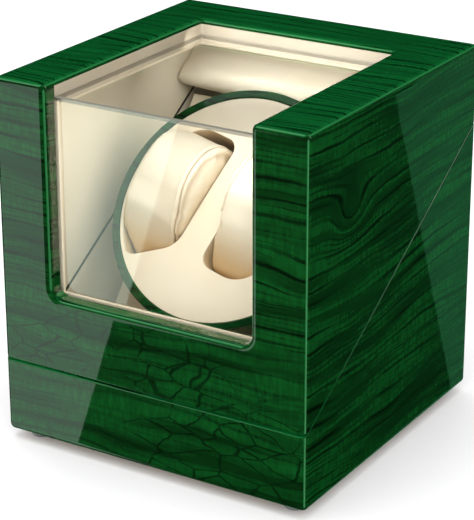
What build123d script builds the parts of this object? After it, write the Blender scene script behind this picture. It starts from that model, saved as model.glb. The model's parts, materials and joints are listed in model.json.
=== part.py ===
"""Single watch winder box: a lacquered wooden case sawn in two along a slanted plane.

The rear-hinged lid carries the front and top windows. The base carries a slanted deck with
the rotating drum, two watch pillows in the drum, and the motor, belt and controls behind it.

Working frame while modelling: X to the right, Y towards the back, Z up, with X = Y = 0 at the
centre of the case and Z = 0 at the underside of the case. Every piece is moved by STAND on
export, so that Z = 0 is the surface under the feet and the origin is the centre of the
whole footprint, hinges included.
"""
from build123d import *
import os
from math import atan2, cos, degrees, radians, sin, sqrt, tan

# Case
WIDTH = 178.0
DEPTH = 176.0
HEIGHT = 191.0
WALL = 8.0
EDGE_R = 3.2
FRONT = -DEPTH / 2
BACK = DEPTH / 2
ROOM_X = WIDTH / 2 - WALL
ROOM_Y = DEPTH / 2 - WALL
ROOM_TOP = HEIGHT - WALL

# Slanted cut between lid and base
SPLIT_FRONT_Z = 40.1
SPLIT_BACK_Z = 150.0
SPLIT_GAP = 0.8
SPLIT_EDGE_R = 0.6
SPLIT_TILT = degrees(atan2(SPLIT_BACK_Z - SPLIT_FRONT_Z, DEPTH))
MAGNET_R = 2.5
MAGNET_T = 3.0
MAGNET_X = 70.0

# Window through the front and the top of the lid
WINDOW_HALF = 58.0
WINDOW_SILL_Z = 79.7
WINDOW_BACK_Y = 53.2
SILL_CORNER_R = 6.0
BACK_CORNER_R = 2.0
PANE = 2.5
PANE_LAP = 5.0
PANE_PLAY = 0.2
PANE_HALF = WINDOW_HALF + PANE_LAP
PANE_SILL_Z = WINDOW_SILL_Z - PANE_LAP
PANE_BACK_Y = WINDOW_BACK_Y + PANE_LAP

# Linings: leatherette over thin board
LINING = 1.8
LINED_X = ROOM_X - LINING
FRAME_LINING = PANE + LINING
LINED_FRONT_Y = -ROOM_Y + FRAME_LINING
LINED_BACK_Y = ROOM_Y - LINING
LINED_TOP_Z = ROOM_TOP - FRAME_LINING

# Padded ledge across the back of the lid, in heights above the case's underside
BOLSTER_TOP_Z = 170.8
BOLSTER_LOW_Z = 145.0
BOLSTER_NOSE_Y = 57.7
BOLSTER_NOSE_TOP_Z = 157.0
BOLSTER_NOSE_LOW_Z = 153.0
BOLSTER_NOSE_R = 1.7

# Bottom plate, floor and glides
PLATE_LOW_Z = 0.5
PLATE_TOP_Z = 6.5
PLATE_LAP = 5.0
PLATE_PLAY = 0.2
FLOOR_TOP_Z = 9.5
FLOOR_BACK_Y = -30.0
FOOT_HEIGHT = 5.0
FOOT_R = 6.0
FOOT_ROUND_R = 2.2
FOOT_INSET = 12.5

# Drum axis: the drum faces forwards and up
DRUM_Y = -13.7
DRUM_Z = 115.8
DRUM_TILT = 50.1
DRUM_TURN = -13.4
DRUM_R = 66.1
DRUM_BORE_R = 61.7
DRUM_DEPTH = 44.0
DRUM_WALL = 4.0
DRUM_BACK_R = 6.0
DRUM_RIM_R = 0.6

# Crowned leather face and the foam under it
FACE_R = DRUM_BORE_R - 0.2
FACE_TOP_H = 1.6
FACE_EDGE_H = -0.4
FACE_T = 2.0
POCKET_FLOOR_H = -35.0

# Pillow slots: the left outline, turned half round the pair's centre for the right one
SLOT_CORNERS = [(-14.3, -30.0), (-14.3, 32.5), (-39.5, 32.5), (-58.0, 8.0), (-55.0, -30.0), (-39.0, -46.8)]
SLOT_RADII = [14.0, 7.0, 18.0, 20.0, 12.0, 8.0]
SLOT_LIMIT_R = 59.6
PAIR_U = -5.8
PAIR_V = 0.2

# Pillows: a large roll and a small one, wrapped together, along the u direction
PILLOW_BIG_R = 23.9
PILLOW_BIG_V = 3.6
PILLOW_BIG_H = -2.8
PILLOW_SMALL_R = 8.0
PILLOW_SMALL_V = -38.0
PILLOW_SMALL_H = -21.0
PILLOW_INNER_U = -15.2
PILLOW_OUTER_U = -53.0
PILLOW_INNER_R = 4.0
PILLOW_OUTER_R = 12.0
PILLOW_RISE = 11.0
PILLOW_PLAY = 0.8

# Slanted deck behind the drum, in drum heights
DECK_FRONT_H = -49.0
DECK_COVER_T = 1.2
DECK_BOARD_T = 5.0
DECK_HALF = 75.0
DECK_TOP_V = 75.0
BOARD_FRONT_H = DECK_FRONT_H - DECK_COVER_T
BOARD_BACK_H = BOARD_FRONT_H - DECK_BOARD_T
RAIL_DEPTH = 10.0
RAIL_LOW_V = -80.0
RAIL_TOP_V = 45.0
RAIL_INNER_X = 71.0
HUB_HOLE_R = 10.3
DECK_SCREW_L = 5.0

# Shaft, bush and hub
SHAFT_R = 4.0
SHAFT_END_H = -72.0
RUNNING = 0.06
BUSH_FRONT_H = BOARD_FRONT_H - 2.8
BUSH_REAR_R = 8.0
BEARING_FLANGE_R = 20.0
BEARING_FLANGE_T = 3.0
BEARING_SCREW_R = 15.5
HUB_FLANGE_R = 15.0
HUB_FLANGE_T = 1.8
HUB_BOSS_R = 7.0
HUB_BOSS_END_H = BUSH_FRONT_H + 0.5
HUB_SCREW_R = 11.0
HUB_SCREW_L = 5.6

# Pulleys and belt
BELT_H = -65.5
BELT_W = 2.6
BELT_T = 1.5
PULLEY_W = 7.0
DRUM_PULLEY_PITCH_R = 24.0
BELT_RATIO = 4.0
MOTOR_PULLEY_PITCH_R = DRUM_PULLEY_PITCH_R / BELT_RATIO
CLIP_H = -69.8
CLIP_T = 1.0

# Geared motor and its bracket
MOTOR_V = -45.0
MOTOR_R = 12.0
MOTOR_FACE_H = -71.5
MOTOR_BACK_H = -96.0
MOTOR_BOSS_R = 4.0
MOTOR_SHAFT_R = 1.5
MOTOR_SCREW_V = 8.5
BRACKET_T = 1.5
BRACKET_HALF = 16.0
BRACKET_LONG = 14.0
BRACKET_FOOT = 12.0
BRACKET_SCREW_X = 22.5
BRACKET_SCREW_V = 8.0

# Hinges
PIN_Y = BACK + 2.5
PIN_Z = SPLIT_BACK_Z + 1.6
PIN_R = 1.0
KNUCKLE_R = 2.3
LEAF_T = 1.2
LEAF_H = 14.0
LEAF_W = 24.0
HINGE_X = 50.0
KNUCKLE_GAP = 0.3
HINGE_SCREW_L = 7.0

# Rear control panel, seen inside a cut-out of the back wall
PANEL_Z = 39.0
PANEL_HALF_X = 37.0
PANEL_HALF_Z = 17.0
PANEL_T = 1.5
PANEL_SCREW_L = 6.0
PANEL_SCREW_Z = 10.0
CUTOUT_HALF_X = 31.0
CUTOUT_HALF_Z = 13.0
CUTOUT_R = 4.0

# Power inlet
JACK_X = -20.0
JACK_BARREL_R = 3.9
JACK_BODY_R = 5.6
JACK_BORE_R = 2.8
JACK_PIN_R = 1.05

# Mode switch and its knob
KNOB_X = 0.0
KNOB_R = 8.0
KNOB_LOW = 1.0
KNOB_HIGH = 10.5
SWITCH_SHAFT_R = 3.0
SWITCH_SIDE = 14.0
SWITCH_DEPTH = 13.0

# Power rocker
ROCKER_X = 20.0
ROCKER_REST_TILT = 8.0
ROCKER_HOUSING = (6.8, 9.6)
ROCKER_HALF = 5.0
ROCKER_R = 8.5
ROCKER_PIVOT = -2.0
ROCKER_VALLEY = 2.8
ROCKER_SLOPE = 8.0
ROCKER_PIN_R = 1.0

# Circuit board
BOARD_X = (-70.0, -26.0)
BOARD_Y = (38.0, 72.0)
BOARD_T = 1.6
SPACER_H = 6.5
SPACER_INSET = 4.0

# Bores for the wood screws and the machine screws
WOOD_BORE_R = 1.1
BOTTOM_SCREW_L = 14.0
BOTTOM_BORE_R = 1.2
SINK_HEAD_R = 2.2

STAND = Pos(0, -(PIN_Y + KNUCKLE_R - BACK) / 2, FOOT_HEIGHT)
BIG = 400.0

SPLIT = Plane(
    origin=(0, FRONT, SPLIT_FRONT_Z),
    x_dir=(1, 0, 0),
    z_dir=(0, -sin(radians(SPLIT_TILT)), cos(radians(SPLIT_TILT))),
).location
DRUM = Plane(
    origin=(0, DRUM_Y, DRUM_Z),
    x_dir=(1, 0, 0),
    z_dir=(0, -sin(radians(DRUM_TILT)), cos(radians(DRUM_TILT))),
).location
TURNED = DRUM * Rot(0, 0, DRUM_TURN)
MOTOR = DRUM * Pos(0, MOTOR_V, 0)
HALF_ROUND_PAIR = Pos(2 * PAIR_U, 2 * PAIR_V, 0) * Rot(0, 0, 180)
REARWARDS = Rot(-90, 0, 0)


def span(x0, x1, y0, y1, z0, z1):
    """Box between two corners."""
    block = Box(x1 - x0, y1 - y0, z1 - z0, align=(Align.MIN, Align.MIN, Align.MIN))
    return Pos(x0, y0, z0) * block


def rod(radius, low, high):
    """Cylinder on Z between two heights."""
    return Pos(0, 0, low) * Cylinder(radius, high - low, align=(Align.CENTER, Align.CENTER, Align.MIN))


def tube(outer, inner, low, high):
    """Ring on Z between two heights."""
    return rod(outer, low, high) - rod(inner, low - 1, high + 1)


def above_split():
    """Everything on the lid's side of the slanted cut."""
    block = Box(BIG, 2 * BIG, BIG, align=(Align.CENTER, Align.CENTER, Align.MIN))
    return SPLIT * Pos(0, 0, SPLIT_GAP / 2) * block


def below_split():
    """Everything on the base's side of the slanted cut."""
    block = Box(BIG, 2 * BIG, BIG, align=(Align.CENTER, Align.CENTER, Align.MAX))
    return SPLIT * Pos(0, 0, -SPLIT_GAP / 2) * block


def split_point(y, drop):
    """Location on the cut plane above depth y, sunk by drop, with Z along its normal."""
    along = (y - FRONT) / cos(radians(SPLIT_TILT))
    return SPLIT * Pos(0, along, drop)


def wood_screw(length, shank_r=1.1, head_r=2.2, head_h=1.0):
    """Pan-head screw: the head stands on Z = 0, the shank runs down."""
    shank = rod(shank_r, -length, 0)
    head = rod(head_r, 0, head_h)
    head = fillet(head.edges().group_by(Axis.Z)[-1], head_h * 0.6)
    slot = Box(2 * head_r, 0.5, 0.5)
    return shank + head - Pos(0, 0, head_h) * slot


def flat_screw(length, shank_r=1.2, head_r=2.2):
    """Countersunk screw: the head's face is at Z = 0, the shank runs down."""
    sink = head_r - shank_r
    head = Pos(0, 0, -sink / 2) * Cone(shank_r, head_r, sink)
    slot = Box(1.6 * head_r, 0.5, 0.6)
    return rod(shank_r, -length, -sink) + head - slot


def at_all(places, piece):
    """One compound of the same piece at several locations."""
    return Compound([place * piece for place in places])


def countersunk_bore(place):
    """Tool for a countersunk screw hole, with the head's face at the place."""
    sink = SINK_HEAD_R - BOTTOM_BORE_R
    return place * (rod(BOTTOM_BORE_R, -10, 0) + Pos(0, 0, -sink / 2) * Cone(BOTTOM_BORE_R, SINK_HEAD_R, sink))


# Case and lid shell

def case_blank():
    """Rounded block with the window notch, before hollowing and sawing."""
    block = Box(WIDTH, DEPTH, HEIGHT, align=(Align.CENTER, Align.CENTER, Align.MIN))
    notch = span(-WINDOW_HALF, WINDOW_HALF, FRONT - 10, WINDOW_BACK_Y, WINDOW_SILL_Z, HEIGHT + 10)
    sill_edges = notch.edges().filter_by(Axis.Y).group_by(Axis.Z)[0]
    notch = fillet(sill_edges, SILL_CORNER_R)
    back_edges = notch.edges().filter_by(Axis.Z).group_by(Axis.Y)[-1]
    notch = fillet(back_edges, BACK_CORNER_R)
    block = block - notch

    def outside(edge):
        middle = edge.center()
        inside_x = abs(middle.X) < WINDOW_HALF + 0.01
        inside_y = FRONT + 0.1 < middle.Y < BACK - 0.1
        inside_z = 0.1 < middle.Z < HEIGHT - 0.1
        return not (inside_x and inside_y and inside_z)

    return fillet([edge for edge in block.edges() if outside(edge)], EDGE_R)


def case_walls():
    """The whole case as hollow walls, open underneath for the bottom plate."""
    room = span(-ROOM_X, ROOM_X, -ROOM_Y, ROOM_Y, -10, ROOM_TOP)
    rebate_x = ROOM_X + PLATE_LAP
    rebate_y = ROOM_Y + PLATE_LAP
    rebate = span(-rebate_x, rebate_x, -rebate_y, rebate_y, -10, PLATE_TOP_Z)
    return case_blank() - room - rebate


def rounded_split_edges(shell):
    """Ease the outer edges of the sawn face."""
    normal = Vector(0, -sin(radians(SPLIT_TILT)), cos(radians(SPLIT_TILT)))
    faces = [f for f in shell.faces() if abs(f.normal_at().dot(normal)) > 0.999]
    sawn = [f for f in faces if f.area > 500]
    edges = []
    for face in sawn:
        edges += list(face.outer_wire().edges())
    return fillet(edges, SPLIT_EDGE_R)


def magnet_places(drop):
    """The two magnet pockets in the sawn face of the front wall."""
    y = FRONT + WALL / 2
    return [split_point(y, drop) * Pos(x, 0, 0) for x in (-MAGNET_X, MAGNET_X)]


def hinge_screw_places(side):
    """Screw heads on one row of hinge leaves: side is +1 on the lid and -1 on the base."""
    z = PIN_Z + side * LEAF_H * 0.62
    places = []
    for hinge_x in (-HINGE_X, HINGE_X):
        for offset in (-LEAF_W * 0.3, LEAF_W * 0.3):
            places.append(Pos(hinge_x + offset, BACK + LEAF_T, z) * REARWARDS)
    return places


def lid_shell():
    """Upper case half with the window."""
    shell = rounded_split_edges(case_walls() & above_split())
    pocket = rod(MAGNET_R, -0.1, MAGNET_T)
    for place in magnet_places(SPLIT_GAP / 2):
        shell -= place * pocket
    for place in hinge_screw_places(1):
        shell -= place * rod(WOOD_BORE_R, -HINGE_SCREW_L, 0)
    return shell


def panel_screw_places():
    """Screws that hold the control panel, driven from inside the case."""
    x = (CUTOUT_HALF_X + PANEL_HALF_X) / 2
    y = ROOM_Y - PANEL_T
    places = []
    for side in (-x, x):
        for z in (PANEL_Z - PANEL_SCREW_Z, PANEL_Z + PANEL_SCREW_Z):
            places.append(Pos(side, y, z) * Rot(90, 0, 0))
    return places


def bottom_screw_places():
    """Screws up through the bottom plate into the ledge of the side walls."""
    x = ROOM_X + PLATE_LAP / 2 - 0.2
    return [Pos(side, y, PLATE_LOW_Z) * Rot(180, 0, 0) for side in (-x, x) for y in (-60, 0, 60)]


def base_shell():
    """Lower case half with the cut-out for the controls."""
    shell = rounded_split_edges(case_walls() & below_split())
    cutout = Box(2 * CUTOUT_HALF_X, 2 * WALL, 2 * CUTOUT_HALF_Z)
    cutout = fillet(cutout.edges().filter_by(Axis.Y), CUTOUT_R)
    shell -= Pos(0, BACK - WALL / 2, PANEL_Z) * cutout
    for place in magnet_places(-SPLIT_GAP / 2):
        shell -= place * rod(MAGNET_R, -MAGNET_T, 0.1)
    for place in hinge_screw_places(-1):
        shell -= place * rod(WOOD_BORE_R, -HINGE_SCREW_L, 0)
    for place in panel_screw_places():
        shell -= place * rod(WOOD_BORE_R, -PANEL_SCREW_L, 0)
    for place in bottom_screw_places():
        shell -= place * rod(BOTTOM_BORE_R, -BOTTOM_SCREW_L, 0)
    return shell


def magnets(drop, low, high):
    """Two disc magnets in one case half."""
    return at_all(magnet_places(drop), rod(MAGNET_R, low, high))


# Windows and linings of the lid

def front_window_pane():
    """Clear front pane, its top edge exposed."""
    half = PANE_HALF - PANE_PLAY
    low = PANE_SILL_Z + PANE_PLAY
    return span(-half, half, -ROOM_Y, -ROOM_Y + PANE, low, ROOM_TOP)


def top_window_pane():
    """Clear top pane, butted against the front pane."""
    half = PANE_HALF - PANE_PLAY
    back = PANE_BACK_Y - PANE_PLAY
    return span(-half, half, -ROOM_Y + PANE, back, ROOM_TOP - PANE, ROOM_TOP)


def pane_room():
    """The space that the two panes and the window need inside the linings."""
    front = span(-PANE_HALF, PANE_HALF, -ROOM_Y - 1, -ROOM_Y + PANE, PANE_SILL_Z, ROOM_TOP + 1)
    top = span(-PANE_HALF, PANE_HALF, -ROOM_Y - 1, PANE_BACK_Y, ROOM_TOP - PANE, ROOM_TOP + 1)
    hole = span(-WINDOW_HALF, WINDOW_HALF, -BIG, WINDOW_BACK_Y, WINDOW_SILL_Z, BIG)
    return front + top + hole


def lid_front_lining():
    """Front frame behind the front pane, rebated for it."""
    board = span(-ROOM_X, ROOM_X, -ROOM_Y, LINED_FRONT_Y, 0, ROOM_TOP)
    return (board & above_split()) - pane_room()


def lid_top_lining():
    """Frame under the top pane, rebated for it."""
    board = span(-ROOM_X, ROOM_X, LINED_FRONT_Y, ROOM_Y, LINED_TOP_Z, ROOM_TOP)
    return board - pane_room()


def lid_side_lining(side):
    """Lining of one side wall of the lid."""
    low_x, high_x = sorted((side * LINED_X, side * ROOM_X))
    board = span(low_x, high_x, LINED_FRONT_Y, LINED_BACK_Y, 0, LINED_TOP_Z)
    return board & above_split()


def lid_back_lining():
    """Lining of the back wall of the lid."""
    return span(-ROOM_X, ROOM_X, LINED_BACK_Y, ROOM_Y, 0, LINED_TOP_Z) & above_split()


def lid_rear_bolster():
    """Padded ledge across the back of the lid, with a rounded nose over the deck's top edge."""
    outline = Polyline(
        (LINED_BACK_Y, BOLSTER_TOP_Z),
        (BOLSTER_NOSE_Y, BOLSTER_NOSE_TOP_Z),
        (BOLSTER_NOSE_Y + 1.8, BOLSTER_NOSE_LOW_Z),
        (LINED_BACK_Y, BOLSTER_LOW_Z),
        close=True,
    )
    face = make_face(Plane.YZ * outline)
    wedge = extrude(face, LINED_X - 0.1, both=True)
    nose = wedge.edges().filter_by(Axis.X).group_by(Axis.Y)[:2]
    return fillet([edge for group in nose for edge in group], BOLSTER_NOSE_R)


# Linings, floor and feet of the base

def base_front_lining():
    """Lining of the low front wall."""
    board = span(-ROOM_X, ROOM_X, -ROOM_Y, -ROOM_Y + LINING, FLOOR_TOP_Z, HEIGHT)
    return board & below_split()


def base_side_lining(side):
    """Lining of one side wall of the base, as far back as the deck board."""
    low_x, high_x = sorted((side * LINED_X, side * ROOM_X))
    board = span(low_x, high_x, -ROOM_Y + LINING, ROOM_Y, FLOOR_TOP_Z, HEIGHT)
    ahead = DRUM * span(-BIG, BIG, -BIG, BIG, BOARD_BACK_H, BIG)
    return board & below_split() & ahead


def base_floor_lining():
    """Padded floor in front of the deck."""
    return span(-ROOM_X, ROOM_X, -ROOM_Y, FLOOR_BACK_Y, PLATE_TOP_Z, FLOOR_TOP_Z)


def spacer_places(z):
    """Corners of the circuit board."""
    xs = (BOARD_X[0] + SPACER_INSET, BOARD_X[1] - SPACER_INSET)
    ys = (BOARD_Y[0] + SPACER_INSET, BOARD_Y[1] - SPACER_INSET)
    return [Pos(x, y, z) for x in xs for y in ys]


def base_bottom_plate():
    """Plate in the rebate under the base."""
    half_x = ROOM_X + PLATE_LAP - PLATE_PLAY
    half_y = ROOM_Y + PLATE_LAP - PLATE_PLAY
    plate = span(-half_x, half_x, -half_y, half_y, PLATE_LOW_Z, PLATE_TOP_Z)
    for place in bottom_screw_places():
        plate -= countersunk_bore(place)
    for place in spacer_places(PLATE_TOP_Z):
        plate -= place * rod(1.0, -3.0, 1)
    return plate


def foot(x_side, y_side):
    """Rounded glide glued under one corner."""
    x = x_side * (WIDTH / 2 - FOOT_INSET)
    y = y_side * (DEPTH / 2 - FOOT_INSET)
    pad = rod(FOOT_R, -FOOT_HEIGHT, PLATE_LOW_Z)
    pad = fillet(pad.edges().group_by(Axis.Z)[0], FOOT_ROUND_R)
    return Pos(x, y, 0) * pad


# Deck and its supports

def deck_slab(low_h, high_h, hole_r):
    """Slanted panel between two drum heights, standing on the floor."""
    slab = span(-DECK_HALF, DECK_HALF, -BIG / 2, DECK_TOP_V, low_h, high_h)
    slab = DRUM * (slab - rod(hole_r, low_h - 1, high_h + 1))
    return slab & span(-BIG, BIG, -BIG, BIG, FLOOR_TOP_Z, BIG)


def deck_screw_places():
    """Screws from behind into the deck board: three for the bearing, four for the bracket."""
    places = []
    for turn in (90, 210, 330):
        flange = Rot(0, 0, turn) * Pos(BEARING_SCREW_R, 0, BOARD_BACK_H - BEARING_FLANGE_T)
        places.append(DRUM * flange * Rot(180, 0, 0))
    for x in (-BRACKET_SCREW_X, BRACKET_SCREW_X):
        for v in (-BRACKET_SCREW_V, BRACKET_SCREW_V):
            places.append(MOTOR * Pos(x, v, BOARD_BACK_H - BRACKET_T) * Rot(180, 0, 0))
    return places


def deck_board():
    """Board that carries the bearing and the motor."""
    board = deck_slab(BOARD_BACK_H, BOARD_FRONT_H, HUB_HOLE_R)
    for place in deck_screw_places():
        board -= place * rod(1.1, -DECK_SCREW_L, 0)
    return board


def deck_cover():
    """Leather over the front of the deck board."""
    return deck_slab(BOARD_FRONT_H, DECK_FRONT_H, HUB_HOLE_R)


def deck_rails():
    """Battens glued to the side walls under the deck's edges."""
    low = BOARD_BACK_H - RAIL_DEPTH
    rail = span(RAIL_INNER_X, ROOM_X, RAIL_LOW_V, RAIL_TOP_V, low, BOARD_BACK_H)
    return Compound([DRUM * rail, DRUM * mirror(rail, Plane.YZ)])


# Drum

def crowned_disc(drop, low_h):
    """Disc inside the drum whose top is the crowned face lowered by drop, down to low_h."""
    crown = TangentArc((0, FACE_TOP_H - drop), (FACE_R, FACE_EDGE_H - drop), tangent=(1, 0))
    if low_h is None:
        under = TangentArc((0, FACE_TOP_H - drop - FACE_T), (FACE_R, FACE_EDGE_H - drop - FACE_T), tangent=(1, 0))
    else:
        under = Line((0, low_h), (FACE_R, low_h))
    sides = [Line(crown @ 1, under @ 1), Line(under @ 0, crown @ 0)]
    return revolve(Plane.XZ * make_face([crown, under] + sides), Axis.Z)


def slot_outline(inset=0.0):
    """Face of the left pillow slot: a half-moon with its straight side towards the drum's middle."""
    wire = FilletPolyline(*SLOT_CORNERS, radius=SLOT_RADII, close=True)
    outline = make_face(wire) & Circle(SLOT_LIMIT_R)
    if inset:
        outline = offset(outline, -inset)
    return outline


def slot_cutters(low_h, high_h):
    """Both slots as tools in the drum's turned frame."""
    tool = Pos(0, 0, low_h) * extrude(slot_outline(), high_h - low_h)
    return tool + HALF_ROUND_PAIR * tool


def hub_screw_places():
    """Screws from inside the drum into the hub flange."""
    high = -DRUM_DEPTH + DRUM_WALL
    return [TURNED * Rot(0, 0, turn) * Pos(HUB_SCREW_R, 0, high) for turn in (45, 135, 225, 315)]


def drum_shell():
    """Lacquered cup with a flat rim."""
    cup = rod(DRUM_R, -DRUM_DEPTH, 0)
    cup = fillet(cup.edges().group_by(Axis.Z)[0], DRUM_BACK_R)
    cup -= rod(DRUM_BORE_R, -DRUM_DEPTH + DRUM_WALL, 1)
    cup = fillet(cup.edges().group_by(Axis.Z)[-1], DRUM_RIM_R)
    cup = TURNED * cup
    for place in hub_screw_places():
        cup -= countersunk_bore(place)
    return cup


def drum_face():
    """Crowned leather face with the two slots."""
    return TURNED * (crowned_disc(0.0, None) - slot_cutters(-20, 10))


def drum_insert():
    """Foam under the face, with the two pockets."""
    foam = crowned_disc(FACE_T, -DRUM_DEPTH + DRUM_WALL)
    return TURNED * (foam - slot_cutters(POCKET_FLOOR_H, 10))


def drum_hub():
    """Flange, boss and shaft behind the drum."""
    back = -DRUM_DEPTH
    hub = rod(HUB_FLANGE_R, back - HUB_FLANGE_T, back)
    hub += rod(HUB_BOSS_R, HUB_BOSS_END_H, back - HUB_FLANGE_T)
    hub += rod(SHAFT_R, SHAFT_END_H, HUB_BOSS_END_H)
    hub -= tube(SHAFT_R + 2, SHAFT_R - 0.5, CLIP_H - 0.6, CLIP_H + 0.6)
    hub = TURNED * hub
    for place in hub_screw_places():
        hub -= place * rod(1.2, -HUB_SCREW_L, 0)
    return hub


def grooved_pulley(pitch_r, bore_r):
    """Pulley with a square belt groove, centred on the belt plane."""
    floor_r = pitch_r - BELT_T / 2
    lip_r = floor_r + BELT_T + 0.6
    low = BELT_H - PULLEY_W / 2
    high = BELT_H + PULLEY_W / 2
    body = rod(lip_r, low, high)
    groove = tube(lip_r + 2, floor_r, BELT_H - BELT_W / 2 - 0.3, BELT_H + BELT_W / 2 + 0.3)
    return body - groove - rod(bore_r, low - 1, high + 1)


def drum_pulley():
    """Large pulley on the drum's shaft, with lightening holes."""
    pulley = grooved_pulley(DRUM_PULLEY_PITCH_R, SHAFT_R + 0.02)
    for turn in range(0, 360, 60):
        pulley -= Rot(0, 0, turn) * Pos(14, 0, 0) * rod(4.0, -80, -50)
    return TURNED * pulley


def shaft_clip():
    """Open spring clip in the shaft groove behind the pulley."""
    ring = tube(SHAFT_R + 2.6, SHAFT_R - 0.48, CLIP_H - CLIP_T / 2, CLIP_H + CLIP_T / 2)
    mouth = span(0, 10, -2.2, 2.2, -75, -65)
    return TURNED * (ring - mouth)


def pillow(side):
    """Soft roll for a watch: side is -1 for the left one and 1 for the right one, which sits higher."""
    mirror_u = 0.0 if side < 0 else 2 * PAIR_U
    inner = mirror_u - side * PILLOW_INNER_U
    outer = mirror_u - side * PILLOW_OUTER_U
    rise = 0.0 if side < 0 else PILLOW_RISE
    big = Pos(PILLOW_BIG_V, PILLOW_BIG_H) * Circle(PILLOW_BIG_R)
    small = Pos(PILLOW_SMALL_V, PILLOW_SMALL_H) * Circle(PILLOW_SMALL_R)
    section = make_hull(big.edges() + small.edges())
    along = Plane(origin=(0, rise, 0), x_dir=(0, 1, 0), z_dir=(1, 0, 0))
    roll = along * extrude(section, BIG / 2, both=True)
    top_h = PILLOW_BIG_H + PILLOW_BIG_R + 0.5
    ends = span(min(inner, outer), max(inner, outer), -BIG, BIG, -BIG / 2, top_h)
    ridges = ends.edges().filter_by(Axis.Y).group_by(Axis.Z)[-1].sort_by(Axis.X)
    left_r, right_r = (PILLOW_OUTER_R, PILLOW_INNER_R) if side < 0 else (PILLOW_INNER_R, PILLOW_OUTER_R)
    ends = fillet(ridges[0], left_r)
    ridges = ends.edges().filter_by(Axis.Y).group_by(Axis.Z)[-1].sort_by(Axis.X)
    ends = fillet(ridges[-1], right_r)
    limit = Pos(0, 0, POCKET_FLOOR_H) * extrude(slot_outline(PILLOW_PLAY), BIG)
    if side > 0:
        limit = HALF_ROUND_PAIR * limit
    return TURNED * (roll & ends & limit)


# Bearing, motor and belt

def hub_bearing():
    """Flanged bush in the deck board."""
    bush = rod(HUB_HOLE_R - 0.1, BOARD_BACK_H, BUSH_FRONT_H)
    bush += rod(BEARING_FLANGE_R, BOARD_BACK_H - BEARING_FLANGE_T, BOARD_BACK_H)
    bush += rod(BUSH_REAR_R, BELT_H + PULLEY_W / 2 + 1.0, BOARD_BACK_H - BEARING_FLANGE_T)
    bush -= rod(SHAFT_R + RUNNING, -80, -40)
    bush = DRUM * bush
    for place in deck_screw_places()[:3]:
        bush -= place * rod(1.1, -10, 0)
    return bush


def motor_screw_places():
    """Screws through the bracket into the motor's face."""
    return [MOTOR * Pos(0, v, MOTOR_FACE_H + BRACKET_T) for v in (-MOTOR_SCREW_V, MOTOR_SCREW_V)]


def motor_bracket():
    """Bent sheet bracket that hangs the motor behind the deck board."""
    half = BRACKET_HALF
    bracket = span(-half, half, -BRACKET_LONG, BRACKET_LONG, MOTOR_FACE_H, MOTOR_FACE_H + BRACKET_T)
    for side in (-1, 1):
        low_x, high_x = sorted((side * half, side * (half + BRACKET_T)))
        leg = span(low_x, high_x, -BRACKET_LONG, BRACKET_LONG, MOTOR_FACE_H, BOARD_BACK_H)
        low_x, high_x = sorted((side * half, side * (half + BRACKET_FOOT)))
        flange_low = BOARD_BACK_H - BRACKET_T
        flange = span(low_x, high_x, -BRACKET_LONG, BRACKET_LONG, flange_low, BOARD_BACK_H)
        bracket += leg + flange
    bracket -= rod(MOTOR_BOSS_R + 0.1, MOTOR_FACE_H - 1, MOTOR_FACE_H + 5)
    bracket = MOTOR * bracket
    for place in deck_screw_places()[3:]:
        bracket -= place * rod(1.1, -10, 0)
    for place in motor_screw_places():
        bracket -= place * rod(1.25, -5, 1)
    return bracket


def gear_motor():
    """Round geared motor with a front boss and two solder tags."""
    body = rod(MOTOR_R, MOTOR_BACK_H, MOTOR_FACE_H)
    body = fillet(body.edges().group_by(Axis.Z)[0], 1.5)
    body += rod(MOTOR_BOSS_R, MOTOR_FACE_H, MOTOR_FACE_H + BRACKET_T)
    for side in (-5, 5):
        body += span(side - 1, side + 1, -0.3, 0.3, MOTOR_BACK_H - 4, MOTOR_BACK_H)
    body -= rod(MOTOR_SHAFT_R + RUNNING, MOTOR_BACK_H + 8, MOTOR_FACE_H + 5)
    body = MOTOR * body
    for place in motor_screw_places():
        body -= place * rod(1.25, -6, 1)
    return body


def motor_shaft():
    """Output shaft of the geared motor."""
    return MOTOR * rod(MOTOR_SHAFT_R, MOTOR_BACK_H + 9, BELT_H + PULLEY_W / 2 + 0.5)


def motor_pulley():
    """Small pulley on the motor's shaft."""
    return MOTOR * grooved_pulley(MOTOR_PULLEY_PITCH_R, MOTOR_SHAFT_R + 0.02)


def drive_belt():
    """Square-section belt loop round both pulleys."""
    def loop(extra):
        big = DRUM_PULLEY_PITCH_R + extra
        small = MOTOR_PULLEY_PITCH_R + extra
        reach = abs(MOTOR_V)
        lean = (big - small) / reach
        side = sqrt(1 - lean * lean)
        corners = [
            (big * side, -big * lean),
            (small * side, MOTOR_V - small * lean),
            (-small * side, MOTOR_V - small * lean),
            (-big * side, -big * lean),
        ]
        web = make_face(Polyline(*corners, close=True))
        return web + Circle(big) + Pos(0, MOTOR_V) * Circle(small)

    ring = loop(BELT_T / 2) - loop(-BELT_T / 2 + 0.05)
    return DRUM * Pos(0, 0, BELT_H - BELT_W / 2) * extrude(ring, BELT_W)


# Electronics and controls

def circuit_board():
    """Control board with its larger components."""
    top = PLATE_TOP_Z + SPACER_H + BOARD_T
    board = span(*BOARD_X, *BOARD_Y, top - BOARD_T, top)
    for place in spacer_places(top):
        board -= place * rod(1.1, -5, 1)
    return board


def board_components():
    """Controller chip, relay, capacitor and connectors on the circuit board."""
    top = PLATE_TOP_Z + SPACER_H + BOARD_T
    chip = span(-56, -44, 50, 60, top, top + 2.2)
    relay = span(-66, -58, 46, 62, top, top + 9.0)
    sockets = span(-48, -36, 64.5, 70, top, top + 6.0) + span(-48, -36, 40, 45.5, top, top + 6.0)
    capacitor = Pos(-35, 55, 0) * rod(4.0, top, top + 11.0)
    return Compound([chip, relay, capacitor] + list(sockets.solids()))


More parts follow.
